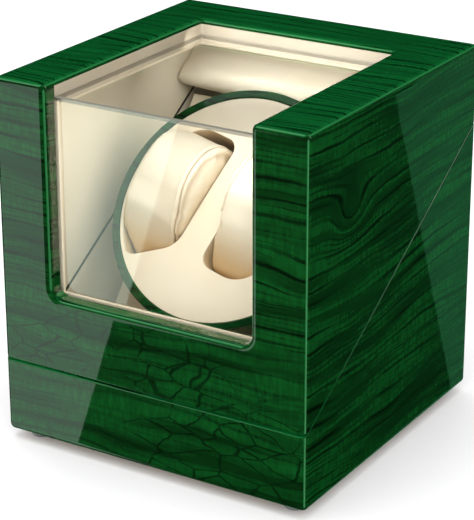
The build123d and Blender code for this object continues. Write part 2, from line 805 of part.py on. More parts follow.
def board_spacers():
    """Four plastic spacers under the circuit board."""
    return at_all(spacer_places(PLATE_TOP_Z), tube(3.0, 1.1, 0, SPACER_H))


def board_screws():
    """Four screws down through board and spacers."""
    screw = wood_screw(SPACER_H + BOARD_T + 2.8, shank_r=1.0, head_r=2.0)
    return at_all(spacer_places(PLATE_TOP_Z + SPACER_H + BOARD_T), screw)


def rear_panel():
    """Control panel behind the cut-out in the back wall."""
    plate = Box(2 * PANEL_HALF_X, PANEL_T, 2 * PANEL_HALF_Z)
    plate = Pos(0, ROOM_Y - PANEL_T / 2, PANEL_Z) * plate
    plate -= control(JACK_X) * rod(JACK_BARREL_R + 0.05, -10, 10)
    plate -= control(KNOB_X) * rod(SWITCH_SHAFT_R + 0.15, -10, 10)
    half_x, half_z = ROCKER_HOUSING
    plate -= control(ROCKER_X) * Box(2 * half_x, 2 * half_z, 20)
    for place in panel_screw_places():
        plate -= place * rod(1.1, -10, 1)
    return plate


def control(x):
    """Place on the panel's outer face, with Z pointing out of the case."""
    return Pos(x, ROOM_Y, PANEL_Z) * REARWARDS


def hexagon_nut(bore_r, flats, height):
    """Hexagonal nut standing on Z = 0."""
    nut = extrude(RegularPolygon(flats / 2, 6, major_radius=False), height)
    return nut - rod(bore_r, -1, height + 1)


def dc_jack():
    """Panel socket for a 5.5 mm barrel plug with a 2.1 mm centre pin."""
    jack = rod(JACK_BARREL_R, -PANEL_T - 1.0, 3.6)
    jack += rod(JACK_BODY_R, -15.0, -PANEL_T)
    jack -= rod(JACK_BORE_R, -8.5, 5)
    jack += rod(JACK_PIN_R, -8.5, 2.6)
    return control(JACK_X) * jack


def jack_nut():
    """Nut that holds the socket to the panel."""
    return control(JACK_X) * hexagon_nut(JACK_BARREL_R + 0.02, 11.0, 2.2)


def mode_switch_body():
    """Rotary switch behind the panel."""
    body = Pos(0, 0, -PANEL_T - SWITCH_DEPTH / 2) * Box(SWITCH_SIDE, SWITCH_SIDE, SWITCH_DEPTH)
    body -= rod(SWITCH_SHAFT_R + RUNNING, -12.0, 0)
    return control(KNOB_X) * body


def mode_knob():
    """Fluted knob with a pointer groove, and its shaft."""
    knob = rod(KNOB_R, KNOB_LOW, KNOB_HIGH)
    knob = fillet(knob.edges().group_by(Axis.Z)[-1], 1.0)
    for turn in range(0, 360, 20):
        knob -= Rot(0, 0, turn) * Pos(KNOB_R + 0.5, 0, 0) * rod(1.1, KNOB_LOW - 1, KNOB_HIGH + 1)
    knob -= span(2.0, KNOB_R + 1, -0.5, 0.5, KNOB_HIGH - 0.6, KNOB_HIGH + 1)
    knob += rod(SWITCH_SHAFT_R, -11.5, KNOB_LOW)
    return control(KNOB_X) * knob


def power_switch_body():
    """Bezel and housing of the rocker switch."""
    half_x, half_z = ROCKER_HOUSING
    bezel = Pos(0, 0, 1.0) * Box(2 * half_x + 2.2, 2 * half_z + 2.2, 2.0)
    bezel = fillet(bezel.edges().filter_by(Axis.Z), 1.0)
    housing = span(-half_x + 0.1, half_x - 0.1, -half_z + 0.1, half_z - 0.1, -15.5, 0.1)
    body = bezel + housing
    body -= span(-ROCKER_HALF - 0.3, ROCKER_HALF + 0.3, -ROCKER_R - 0.3, ROCKER_R + 0.3, -11.5, 5)
    pivot = Pos(0, 0, ROCKER_PIVOT) * Rot(0, 90, 0) * rod(ROCKER_PIN_R + RUNNING, -6.2, 6.2)
    return control(ROCKER_X) * (body - pivot)


def power_rocker():
    """Rocker cap on its pivot pins, resting in its off position."""
    drum = Rot(0, 90, 0) * rod(ROCKER_R, -ROCKER_HALF, ROCKER_HALF)
    rise = ROCKER_R * tan(radians(ROCKER_SLOPE))
    outline = Polyline(
        (-ROCKER_R - 1, -3.0),
        (ROCKER_R + 1, -3.0),
        (ROCKER_R, ROCKER_VALLEY + rise),
        (0, ROCKER_VALLEY),
        (-ROCKER_R, ROCKER_VALLEY + rise),
        close=True,
    )
    cap = drum & extrude(Plane.YZ * make_face(outline), ROCKER_HALF, both=True)
    cap += Rot(0, 90, 0) * rod(ROCKER_PIN_R, -6.1, 6.1)
    return control(ROCKER_X) * Pos(0, 0, ROCKER_PIVOT) * Rot(ROCKER_REST_TILT, 0, 0) * cap


# Hinges

def knuckle(low_x, high_x):
    """One hinge knuckle on the pin's axis."""
    return Pos(0, PIN_Y, PIN_Z) * Rot(0, 90, 0) * tube(KNUCKLE_R, PIN_R + 0.04, low_x, high_x)


def hinge_leaf(side):
    """One leaf and its knuckles: side +1 has the middle knuckle, side -1 the outer two."""
    half = LEAF_W / 2
    third = LEAF_W / 6
    low_z, high_z = sorted((PIN_Z, PIN_Z + side * LEAF_H))
    leaf = span(-half, half, BACK, BACK + LEAF_T, low_z, high_z)
    bore = Pos(0, PIN_Y, PIN_Z) * Rot(0, 90, 0) * rod(KNUCKLE_R + KNUCKLE_GAP, -BIG, BIG)
    if side > 0:
        ranges = [(-third, third)]
        cut = [(-half - 1, -third), (third, half + 1)]
    else:
        ranges = [(-half, -third - KNUCKLE_GAP), (third + KNUCKLE_GAP, half)]
        cut = [(-third - KNUCKLE_GAP, third + KNUCKLE_GAP)]
    for low_x, high_x in cut:
        leaf -= bore & span(low_x, high_x, -BIG, BIG, -BIG, BIG)
    for low_x, high_x in ranges:
        leaf += knuckle(low_x, high_x)
    leaf -= Pos(0, PIN_Y, PIN_Z) * Rot(0, 90, 0) * rod(PIN_R + 0.04, -BIG, BIG)
    return leaf


def hinge_leaves(side):
    """Both leaves of one case half."""
    leaves = []
    for hinge_x in (-HINGE_X, HINGE_X):
        leaf = Pos(hinge_x, 0, 0) * hinge_leaf(side)
        for place in hinge_screw_places(side):
            leaf -= place * rod(1.1, -10, 1)
        leaves.append(leaf)
    return Compound(leaves)


def hinge_pins():
    """Both hinge pins."""
    pin = Pos(0, PIN_Y, PIN_Z) * Rot(0, 90, 0) * rod(PIN_R, -LEAF_W / 2, LEAF_W / 2)
    return at_all([Pos(-HINGE_X, 0, 0), Pos(HINGE_X, 0, 0)], pin)


PIECES = {
    "lid_shell": lid_shell,
    "front_window_pane": front_window_pane,
    "top_window_pane": top_window_pane,
    "lid_front_lining": lid_front_lining,
    "lid_top_lining": lid_top_lining,
    "lid_left_lining": lambda: lid_side_lining(-1),
    "lid_right_lining": lambda: lid_side_lining(1),
    "lid_back_lining": lid_back_lining,
    "lid_rear_bolster": lid_rear_bolster,
    "lid_magnets": lambda: magnets(SPLIT_GAP / 2, 0, MAGNET_T),
    "hinge_lid_leaves": lambda: hinge_leaves(1),
    "hinge_lid_screws": lambda: at_all(hinge_screw_places(1), wood_screw(HINGE_SCREW_L)),
    "base_shell": base_shell,
    "base_bottom_plate": base_bottom_plate,
    "bottom_screws": lambda: at_all(bottom_screw_places(), flat_screw(BOTTOM_SCREW_L)),
    "foot_front_left": lambda: foot(-1, -1),
    "foot_front_right": lambda: foot(1, -1),
    "foot_back_left": lambda: foot(-1, 1),
    "foot_back_right": lambda: foot(1, 1),
    "base_front_lining": base_front_lining,
    "base_left_lining": lambda: base_side_lining(-1),
    "base_right_lining": lambda: base_side_lining(1),
    "base_floor_lining": base_floor_lining,
    "base_magnets": lambda: magnets(-SPLIT_GAP / 2, -MAGNET_T, 0),
    "deck_board": deck_board,
    "deck_cover": deck_cover,
    "deck_rails": deck_rails,
    "deck_screws": lambda: at_all(deck_screw_places(), wood_screw(DECK_SCREW_L)),
    "drum_shell": drum_shell,
    "drum_face": drum_face,
    "drum_insert": drum_insert,
    "drum_hub": drum_hub,
    "hub_screws": lambda: at_all(hub_screw_places(), flat_screw(HUB_SCREW_L)),
    "drum_pulley": drum_pulley,
    "shaft_clip": shaft_clip,
    "pillow_left": lambda: pillow(-1),
    "pillow_right": lambda: pillow(1),
    "hub_bearing": hub_bearing,
    "motor_bracket": motor_bracket,
    "gear_motor": gear_motor,
    "motor_screws": lambda: at_all(motor_screw_places(), wood_screw(4.0, shank_r=1.25)),
    "motor_shaft": motor_shaft,
    "motor_pulley": motor_pulley,
    "drive_belt": drive_belt,
    "circuit_board": circuit_board,
    "board_components": board_components,
    "board_spacers": board_spacers,
    "board_screws": board_screws,
    "rear_panel": rear_panel,
    "panel_screws": lambda: at_all(panel_screw_places(), wood_screw(PANEL_SCREW_L)),
    "dc_jack": dc_jack,
    "jack_nut": jack_nut,
    "mode_switch_body": mode_switch_body,
    "mode_knob": mode_knob,
    "power_switch_body": power_switch_body,
    "power_rocker": power_rocker,
    "hinge_base_leaves": lambda: hinge_leaves(-1),
    "hinge_base_screws": lambda: at_all(hinge_screw_places(-1), wood_screw(HINGE_SCREW_L)),
    "hinge_pins": hinge_pins,
}

os.makedirs("parts", exist_ok=True)
for name, make in PIECES.items():
    export_step(STAND * make(), f"parts/{name}.step")
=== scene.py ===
import json
from math import atan, cos, exp, hypot, pi, radians, sin

import bmesh
import bpy
from mathutils import Matrix, Vector, noise


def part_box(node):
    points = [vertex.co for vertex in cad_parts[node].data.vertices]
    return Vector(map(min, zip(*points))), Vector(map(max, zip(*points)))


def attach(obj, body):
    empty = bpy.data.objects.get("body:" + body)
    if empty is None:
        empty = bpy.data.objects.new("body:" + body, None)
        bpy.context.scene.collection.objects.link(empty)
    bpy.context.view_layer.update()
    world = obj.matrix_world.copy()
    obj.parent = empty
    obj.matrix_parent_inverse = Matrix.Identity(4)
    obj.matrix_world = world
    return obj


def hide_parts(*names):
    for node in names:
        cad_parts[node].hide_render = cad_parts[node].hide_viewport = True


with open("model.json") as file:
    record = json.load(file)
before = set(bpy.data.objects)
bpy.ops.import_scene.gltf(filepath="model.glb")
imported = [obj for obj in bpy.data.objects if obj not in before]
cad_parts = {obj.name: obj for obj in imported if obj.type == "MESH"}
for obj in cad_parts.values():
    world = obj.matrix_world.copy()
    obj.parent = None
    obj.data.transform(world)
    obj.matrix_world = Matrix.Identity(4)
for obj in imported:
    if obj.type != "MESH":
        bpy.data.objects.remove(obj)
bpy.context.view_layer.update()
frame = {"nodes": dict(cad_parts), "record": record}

NODES = frame["nodes"]
MM = 0.001

# The case, measured from its two shells
CASE_LOW, CASE_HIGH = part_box("base_shell")
LID_LOW, LID_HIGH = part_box("lid_shell")
CASE_MID = Vector(((CASE_LOW.x + CASE_HIGH.x) / 2, (CASE_LOW.y + CASE_HIGH.y) / 2, CASE_LOW.z))
SHELL_DEPTH = 7.5       # the shells' walls, in millimetres, behind which they are lined
FRONT_DEPTH = 8.5
FLOOR_DEPTH = 6.0

# The drum's own frame: u to the right along the pillows, v up the face, h out of the face
SPIN = next(joint for joint in frame["record"]["behaviour"]["joints"]
            if joint["name"] == "rotor_spin")
DRUM_MID = Vector(SPIN["pos_m"])
DRUM_OUT = Vector(SPIN["axis"]).normalized()
DRUM_UP = Vector((0, DRUM_OUT.z, -DRUM_OUT.y))
DRUM_TURN = radians(-13.4)
DRUM_U = Vector((1, 0, 0)) * cos(DRUM_TURN) + DRUM_UP * sin(DRUM_TURN)
DRUM_V = DRUM_OUT.cross(DRUM_U)

# The slanted cut between the case halves, worked out from the side linings' corners beside it
HALF_GAP = 0.47
CUT_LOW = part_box("lid_left_lining")[0] / MM
CUT_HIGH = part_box("base_left_lining")[1] / MM
CUT_RUN = CUT_HIGH.y - CUT_LOW.y
CUT_SLOPE = (CUT_HIGH.z - CUT_LOW.z + 2 * HALF_GAP) / CUT_RUN
CUT_SHADE = 0.85

# The knot in the veneer's side faces, and how deep the veneer reaches into the top window
KNOT_Y = -49.0
KNOT_Z = 146.0
TOP_REVEAL = 2.4


# Node graph helpers

class Graph:
    """A small builder for one material's nodes."""

    def __init__(self, name):
        self.material = bpy.data.materials.new(name)
        self.material.use_nodes = True
        self.nodes = self.material.node_tree.nodes
        self.links = self.material.node_tree.links
        self.nodes.clear()
        self.output = self.nodes.new("ShaderNodeOutputMaterial")
        self.coords = self.nodes.new("ShaderNodeTexCoord")

    def plug(self, value, socket):
        """Set a socket to a number, a colour or another node's output."""
        if isinstance(value, bpy.types.NodeSocket):
            self.links.new(value, socket)
        elif isinstance(value, (tuple, list)) and len(value) == 3 and socket.type == "RGBA":
            socket.default_value = (*value, 1.0)
        else:
            socket.default_value = value

    def add(self, kind, inputs=(), **settings):
        """New node of a kind, with its settings and input values."""
        node = self.nodes.new(kind)
        for key, value in settings.items():
            setattr(node, key, value)
        for key, value in dict(inputs).items():
            self.plug(value, node.inputs[key])
        return node

    def math(self, operation, first, second=0.0):
        node = self.add("ShaderNodeMath", {0: first, 1: second}, operation=operation)
        return node.outputs[0]

    def vector(self, x, y, z):
        return self.add("ShaderNodeCombineXYZ", {0: x, 1: y, 2: z}).outputs[0]

    def split(self, vector):
        return self.add("ShaderNodeSeparateXYZ", {0: vector}).outputs

    def noise(self, vector, scale=1.0, detail=2.0, rough=0.5, warp=0.0):
        values = {"Vector": vector, "Scale": scale, "Detail": detail, "Roughness": rough,
                  "Distortion": warp}
        return self.add("ShaderNodeTexNoise", values).outputs["Fac"]

    def ramp(self, value, low, high, to_low=0.0, to_high=1.0):
        """Map a range of a value smoothly to another, clamped."""
        node = self.add("ShaderNodeMapRange", enumerate((value, low, high, to_low, to_high)),
                        interpolation_type="SMOOTHSTEP", clamp=True)
        return node.outputs[0]

    def blend(self, factor, first, second):
        """Mix two colours, whose sockets on the node are 6 and 7."""
        node = self.add("ShaderNodeMix", data_type="RGBA")
        for index, value in ((0, factor), (6, first), (7, second)):
            self.plug(value, node.inputs[index])
        return node.outputs[2]

    def bump(self, height, strength, distance):
        values = {"Height": height, "Strength": strength, "Distance": distance}
        return self.add("ShaderNodeBump", values).outputs[0]

    def finish(self, shader):
        self.links.new(shader, self.output.inputs["Surface"])
        return self.material


def metre_to_mm(graph):
    """Object coordinates in millimetres."""
    place = graph.coords.outputs["Object"]
    node = graph.add("ShaderNodeVectorMath", {0: place, 1: (1000, 1000, 1000)}, operation="MULTIPLY")
    return node.outputs[0]


def face_masks(graph):
    """How much a point faces along X, Y and Z in the object's own frame."""
    normal = graph.split(graph.coords.outputs["Normal"])
    return [graph.ramp(graph.math("ABSOLUTE", normal[axis]), 0.55, 0.8) for axis in range(3)]


def edge_highlight_mask(graph):
    """1 along the middle of a rounded edge, where a lighter green highlight is painted, and 0 on flat
    faces.
    """
    normal = graph.split(graph.coords.outputs["Normal"])
    x, y, z = (graph.math("ABSOLUTE", normal[axis]) for axis in range(3))
    pairs = [graph.math("MULTIPLY", first, second) for first, second in ((x, y), (y, z), (z, x))]
    most = graph.math("MAXIMUM", graph.math("MAXIMUM", pairs[0], pairs[1]), pairs[2])
    return graph.ramp(most, 0.46, 0.495)


def cut_shade_mask(graph):
    """1 on the edges beside the slanted cut, where the gap's shade is painted, 0 elsewhere."""
    _, y, z = graph.split(metre_to_mm(graph))
    rise = graph.math("MULTIPLY", graph.math("SUBTRACT", y, CUT_LOW.y), CUT_SLOPE)
    above = graph.math("SUBTRACT", graph.math("SUBTRACT", z, CUT_LOW.z - HALF_GAP), rise)
    away = graph.math("MULTIPLY", graph.math("ABSOLUTE", above), cos(atan(CUT_SLOPE)))
    return graph.ramp(away, CUT_SHADE, CUT_SHADE + 0.15, 1.0, 0.0)


def veneer_shader(graph, edge_highlight=0.0):
    """Green veneer under clear lacquer: growth lines, a knot, cracks and a painted highlight along the
    rounded edges.
    """
    x, y, z = graph.split(metre_to_mm(graph))
    side, _, top = face_masks(graph)

    def times(value, scale):
        return graph.math("MULTIPLY", value, scale)

    def plus(first, second):
        return graph.math("ADD", first, second)

    along = plus(x, times(side, plus(graph.math("SUBTRACT", y, x), 430.0)))
    across = plus(z, times(top, plus(graph.math("SUBTRACT", y, z), 310.0)))
    slow = graph.noise(graph.vector(times(along, 0.009), times(across, 0.02), 3.0), detail=1.5)
    quick = graph.noise(graph.vector(times(along, 0.045), times(across, 0.06), 5.0), detail=2.0)
    knot_y = times(plus(y, -KNOT_Y), 1.0 / 15.0)
    knot_z = times(plus(z, -KNOT_Z), 1.0 / 11.0)
    knot = graph.math("POWER", 2.718, times(plus(times(knot_y, knot_y), times(knot_z, knot_z)), -1.0))
    knot = times(graph.math("MULTIPLY", knot, side), 1.9)
    warp = plus(times(slow, 2.6), plus(times(quick, 0.32), knot))

    def growth_lines(pitch, spread, seed, thin, thick, faint):
        """Dark lines about pitch apart that wander and swell."""
        count = plus(times(across, 1.0 / pitch), times(warp, spread))
        offset = graph.math("ABSOLUTE", graph.math("SUBTRACT", graph.math("FRACT", count), 0.5))
        swell = graph.noise(graph.vector(times(along, 0.012), times(across, 0.06), seed), detail=2.0)
        width = graph.ramp(swell, 0.35, 0.65, thin, thick)
        line = graph.ramp(graph.math("DIVIDE", offset, width), 0.35, 1.25, 1.0, 0.0)
        keep = graph.noise(graph.vector(times(along, 0.014), times(across, 0.045), seed + 9.0))
        keep = graph.ramp(keep, 0.4, 0.58)
        return graph.math("MULTIPLY", line, plus(times(keep, 1.0 - faint), faint))

    wide = growth_lines(8.0, 1.0, 13.0, 0.05, 0.17, 0.45)
    fine = growth_lines(3.1, 2.6, 33.0, 0.1, 0.26, 0.1)
    drift = times(plus(across, times(warp, 9.5)), 0.11)
    smoke = graph.noise(graph.vector(times(along, 0.01), drift, 51.0), detail=3.0)
    cell_place = graph.vector(times(plus(along, times(quick, 16.0)), 0.045),
                              times(plus(across, times(warp, 5.0)), 0.1), 2.0)
    cells = graph.add("ShaderNodeTexVoronoi", {"Vector": cell_place, "Scale": 1.0},
                      feature="DISTANCE_TO_EDGE").outputs["Distance"]
    crack = graph.ramp(cells, 0.01, 0.045, 1.0, 0.0)
    patch = graph.noise(graph.vector(times(along, 0.016), times(across, 0.02), 21.0))
    patch = graph.ramp(patch, 0.36, 0.55)
    front = graph.math("MULTIPLY", graph.math("SUBTRACT", 1.0, top), graph.math("SUBTRACT", 1.0, side))
    low_front = graph.math("MULTIPLY", graph.ramp(z, 72.0, 96.0, 1.0, 0.0), front)
    crack = graph.math("MULTIPLY", crack, graph.math("MULTIPLY", low_front, patch))
    calm = graph.math("SUBTRACT", 1.0, times(low_front, 0.45))
    dark = times(graph.math("MULTIPLY", wide, calm), 0.86)
    dark = graph.math("MAXIMUM", dark, times(graph.math("MULTIPLY", fine, calm), 0.5))
    dark = graph.math("MAXIMUM", dark, times(crack, 0.72))
    fibre = graph.noise(graph.vector(times(along, 0.5), times(across, 0.12), 61.0), detail=2.0)
    bright = graph.blend(graph.ramp(fibre, 0.35, 0.7), (0.0006, 0.044, 0.0052), (0.0011, 0.067, 0.0085))
    green = graph.blend(graph.ramp(smoke, 0.34, 0.62), (0.0003, 0.023, 0.0024), bright)
    # painted light: the top face is tinted a lighter green than the sides
    green = graph.blend(times(top, 0.6), green, (0.0016, 0.13, 0.026))
    colour = graph.blend(dark, green, (0.0001, 0.0035, 0.0005))
    if edge_highlight:
        # painted highlight: lighter green along the rounded edges
        colour = graph.blend(times(edge_highlight_mask(graph), edge_highlight), colour, (0.02, 0.2, 0.055))
    waves = graph.noise(metre_to_mm(graph), scale=0.05, detail=1.0)
    values = {"Base Color": colour, "Roughness": 0.4, "Specular IOR Level": 0.05,
              "Coat Weight": 1.0, "Coat Roughness": 0.015, "Coat Normal": graph.bump(waves, 0.1, 0.0001)}
    return graph.add("ShaderNodeBsdfPrincipled", values).outputs[0]


def veneer_material():
    graph = Graph("green_veneer")
    return graph.finish(veneer_shader(graph))


def leather_shader(graph, tint, grain, folds=0.0, gap_shade=False):
    """Smooth leatherette: fine pebble grain, folds on soft pieces with painted shade deep in their slots,
    painted shade in the gap at the cut.
    """
    place = metre_to_mm(graph)
    pebble = graph.add("ShaderNodeTexVoronoi", {"Vector": place, "Scale": 1.1},
                       feature="SMOOTH_F1").outputs["Distance"]
    cloud = graph.noise(place, scale=0.025, detail=3.0)
    fine = graph.noise(place, scale=0.9, detail=4.0, rough=0.6)
    darker = tuple(channel * scale for channel, scale in zip(tint, (0.95, 0.93, 0.89)))
    colour = graph.blend(graph.ramp(cloud, 0.3, 0.7), darker, tint)
    colour = graph.blend(graph.ramp(pebble, 0.35, 0.75, 0.0, 0.12), colour, darker)
    height = graph.math("ADD", graph.math("MULTIPLY", pebble, -grain),
                        graph.math("MULTIPLY", fine, grain * 0.5))
    if folds:
        seam = graph.add("ShaderNodeAttribute", attribute_name="seam").outputs["Fac"]
        # painted shade: tan where the pillow sits deep in its slot
        slot_shade = graph.add("ShaderNodeAttribute", attribute_name="slot_shade").outputs["Fac"]
        colour = graph.blend(graph.math("MULTIPLY", slot_shade, 0.8), colour, (0.62, 0.41, 0.19))
        colour = graph.blend(graph.math("MULTIPLY", seam, 0.85), colour, (0.3, 0.19, 0.09))
        wave = graph.noise(place, scale=0.16, detail=2.0, warp=0.8)
        height = graph.math("ADD", height, graph.math("MULTIPLY", wave, folds))
    if gap_shade:
        # painted shade: near-black along the gap at the cut
        colour = graph.blend(cut_shade_mask(graph), colour, (0.03, 0.028, 0.022))
    values = {"Base Color": colour, "Roughness": graph.ramp(fine, 0.2, 0.8, 0.36, 0.5),
              "Specular IOR Level": 0.3, "Normal": graph.bump(height, 0.3, 0.0003)}
    return graph.add("ShaderNodeBsdfPrincipled", values).outputs[0]


def leather_material(name, tint, grain, folds=0.0):
    graph = Graph(name)
    return graph.finish(leather_shader(graph, tint, grain, folds))


def gap_shaded_lining_material():
    graph = Graph("side_lining")
    return graph.finish(leather_shader(graph, CREAM, 0.3, gap_shade=True))


def case_material(name):
    """Case halves: veneered and lacquered outside with a painted highlight on the rounded edges, lined
    inside with a darker cream leatherette as painted shade, and painted shade in the gap at the cut.
    """
    graph = Graph(name)
    x, y, z = graph.split(metre_to_mm(graph))
    edge_x, edge_y = LID_HIGH.x / MM - SHELL_DEPTH, CASE_HIGH.y / MM - SHELL_DEPTH
    top_z = LID_HIGH.z / MM - TOP_REVEAL
    inside = graph.math("LESS_THAN", graph.math("ABSOLUTE", x), edge_x)
    inside = graph.math("MULTIPLY", inside, graph.math("LESS_THAN", y, edge_y))
    inside = graph.math("MULTIPLY", inside, graph.math("GREATER_THAN", y, CASE_LOW.y / MM + FRONT_DEPTH))
    inside = graph.math("MULTIPLY", inside, graph.math("LESS_THAN", z, top_z))
    inside = graph.math("MULTIPLY", inside, graph.math("GREATER_THAN", z, CASE_LOW.z / MM + FLOOR_DEPTH))
    behind = graph.math("GREATER_THAN", y, CASE_LOW.y / MM + 4.0)
    between = graph.math("LESS_THAN", graph.math("ABSOLUTE", x), edge_x + 3.0)
    between = graph.math("MULTIPLY", behind, between)
    # the shells' faces at the cut take the lined shader, which paints the gap's shade on them
    inside = graph.math("MAXIMUM", inside, graph.math("MULTIPLY", cut_shade_mask(graph), between))
    # painted shade: the lined faces use the darker cream
    lined = leather_shader(graph, SHADED_CREAM, 0.3, gap_shade=True)
    veneered = veneer_shader(graph, edge_highlight=0.55)
    mix = graph.add("ShaderNodeMixShader", {0: inside, 1: veneered, 2: lined})
    return graph.finish(mix.outputs[0])


def pane_material(name, axis):
    """Clear acrylic sheet: clear through its faces, pale grey through its sawn edges."""
    graph = Graph(name)
    face = face_masks(graph)[axis]
    clear = graph.add("ShaderNodeBsdfTransparent", {"Color": (0.975, 0.98, 0.975)})
    smudge = graph.noise(metre_to_mm(graph), scale=0.03, detail=3.0)
    polish = graph.ramp(smudge, 0.3, 0.7, 0.01, 0.03)
    gloss = graph.add("ShaderNodeBsdfGlossy", {"Color": (1, 1, 1), "Roughness": polish})
    fresnel = graph.add("ShaderNodeFresnel", {"IOR": 1.49}).outputs[0]
    back = graph.add("ShaderNodeNewGeometry").outputs["Backfacing"]
    # the front face mirrors for both, so a sheet's two reflections aren't counted twice
    mirror = graph.math("MULTIPLY", fresnel, 2.2)
    mirror = graph.math("MULTIPLY", mirror, graph.math("SUBTRACT", 1.0, back))
    sheet = graph.add("ShaderNodeMixShader", {0: mirror, 1: clear.outputs[0], 2: gloss.outputs[0]})
    edge = graph.add("ShaderNodeBsdfPrincipled", {"Base Color": (0.22, 0.215, 0.18), "Roughness": 0.35})
    mix = graph.add("ShaderNodeMixShader", {0: face, 1: edge.outputs[0], 2: sheet.outputs[0]})
    return graph.finish(mix.outputs[0])


def metal_material(name, colour, roughness, brushed=0.0, spots=0.0):
    """Metal with fine scratches along one way and faint tarnish."""
    graph = Graph(name)
    place = metre_to_mm(graph)
    x, y, z = graph.split(place)
    lines = graph.noise(graph.vector(graph.math("MULTIPLY", x, 0.3), graph.math("MULTIPLY", y, 6.0),
                                     graph.math("MULTIPLY", z, 6.0)), detail=3.0)
    tarnish = graph.noise(place, scale=0.35, detail=4.0)
    dull = tuple(channel * 0.72 for channel in colour)
    tone = graph.blend(graph.ramp(tarnish, 0.4, 0.75, 0.0, 0.35 + spots), colour, dull)
    values = {"Base Color": tone, "Metallic": 1.0,
              "Roughness": graph.ramp(lines, 0.3, 0.7, roughness, roughness + 0.12),
              "Normal": graph.bump(lines, 0.08 + brushed, 0.0001)}
    shader = graph.add("ShaderNodeBsdfPrincipled", values)
    return graph.finish(shader.outputs[0])


def moulded_material(name, colour, roughness, texture):
    """Moulded plastic or rubber with a fine spark-eroded texture and slight tone changes."""
    graph = Graph(name)
    place = metre_to_mm(graph)
    speck = graph.noise(place, scale=3.2, detail=3.0, rough=0.7)
    cloud = graph.noise(place, scale=0.12, detail=2.0)
    lighter = tuple(min(1.0, channel * 1.18 + 0.004) for channel in colour)
    tone = graph.blend(graph.ramp(cloud, 0.35, 0.7), colour, lighter)
    values = {"Base Color": tone,
              "Roughness": graph.ramp(speck, 0.3, 0.7, roughness - 0.06, roughness + 0.06),
              "Normal": graph.bump(speck, texture, 0.0002)}
    shader = graph.add("ShaderNodeBsdfPrincipled", values)
    return graph.finish(shader.outputs[0])


def fibre_board_material():
    """Fine fibre board: short pressed fibres and darker flecks."""
    graph = Graph("board")
    place = metre_to_mm(graph)
    fibre = graph.noise(place, scale=1.6, detail=5.0, rough=0.7, warp=0.6)
    fleck = graph.ramp(graph.noise(place, scale=0.8, detail=3.0), 0.58, 0.7)
    tone = graph.blend(graph.ramp(fibre, 0.3, 0.7), (0.36, 0.25, 0.15), (0.5, 0.37, 0.24))
    tone = graph.blend(graph.math("MULTIPLY", fleck, 0.5), tone, (0.24, 0.16, 0.09))
    values = {"Base Color": tone, "Roughness": 0.78, "Normal": graph.bump(fibre, 0.3, 0.0004)}
    shader = graph.add("ShaderNodeBsdfPrincipled", values)
    return graph.finish(shader.outputs[0])


def circuit_material():
    """Green solder mask with faint copper tracks under it."""
    graph = Graph("circuit_laminate")
    x, y, _ = graph.split(metre_to_mm(graph))
    grid = graph.vector(graph.math("MULTIPLY", x, 0.35), graph.math("MULTIPLY", y, 0.35), 0.0)
    tracks = graph.add("ShaderNodeTexVoronoi", {"Vector": grid, "Scale": 1.0},
                       feature="DISTANCE_TO_EDGE").outputs["Distance"]
    track = graph.ramp(tracks, 0.05, 0.09, 1.0, 0.0)
    tone = graph.blend(track, (0.01, 0.12, 0.045), (0.03, 0.24, 0.09))
    values = {"Base Color": tone, "Roughness": 0.32, "Normal": graph.bump(track, 0.15, 0.0001)}
    shader = graph.add("ShaderNodeBsdfPrincipled", values)
    return graph.finish(shader.outputs[0])


CREAM = (0.86, 0.775, 0.615)
PILLOW_CREAM = (0.78, 0.70, 0.55)
# darker copy of the cream leather: painted shade on the case's lined faces and the ceiling lining
SHADED_CREAM = (0.4, 0.35, 0.265)
SLOT_MATERIALS = {
    "green_veneer": veneer_material(),
    "cream_leather": leather_material("cream_leather", CREAM, 0.3),
    "pillow_leather": leather_material("pillow_leather", PILLOW_CREAM, 0.3, folds=0.9),
    "foam": leather_material("pocket_leather", (0.78, 0.64, 0.42), 0.4),
    "board": fibre_board_material(),
    "grey_rubber": moulded_material("grey_rubber", (0.16, 0.17, 0.17), 0.42, 0.1),
    "belt_rubber": moulded_material("belt_rubber", (0.02, 0.02, 0.02), 0.6, 0.2),
    "steel": metal_material("steel", (0.62, 0.62, 0.61), 0.26, brushed=0.1),
    "motor_can": metal_material("motor_can", (0.56, 0.56, 0.55), 0.34, spots=0.1),
    "gilt_brass": metal_material("gilt_brass", (0.83, 0.62, 0.27), 0.16),
    "magnet_nickel": metal_material("magnet_nickel", (0.7, 0.69, 0.66), 0.18),
    "black_plastic": moulded_material("black_plastic", (0.02, 0.02, 0.021), 0.5, 0.2),
    "knob_plastic": moulded_material("knob_plastic", (0.022, 0.022, 0.024), 0.3, 0.08),
    "white_plastic": moulded_material("white_plastic", (0.78, 0.78, 0.74), 0.38, 0.08),
    "circuit_laminate": circuit_material(),
}
OWN_MATERIALS = {
    "base_shell": case_material("base_case"),
    "lid_shell": case_material("lid_case"),
    "lid_top_lining": leather_material("shaded_ceiling_lining", SHADED_CREAM, 0.3),
    "front_window_pane": pane_material("front_acrylic", 1),
    "top_window_pane": pane_material("top_acrylic", 2),
}
for half in ("lid", "base"):
    for hand in ("left", "right"):
        OWN_MATERIALS[f"{half}_{hand}_lining"] = gap_shaded_lining_material()
for entry in frame["record"]["subparts"]:
    node = NODES[entry["node"]]
    node.data.materials.clear()
    chosen = OWN_MATERIALS.get(entry["node"]) or SLOT_MATERIALS[entry["material_slot"]]
    node.data.materials.append(chosen)


# Soft goods

CLOTH_FRAMES = 20


def share(value, low, high):
    """How far a value has gone from low to high, from 0 to 1."""
    return max(0.0, min(1.0, (value - low) / (high - low)))


def bake(piece):
    """Replace a piece's mesh with what its modifiers make of it."""
    graph = bpy.context.evaluated_depsgraph_get()
    mesh = bpy.data.meshes.new_from_object(piece.evaluated_get(graph))
    piece.modifiers.clear()
    piece.data = mesh


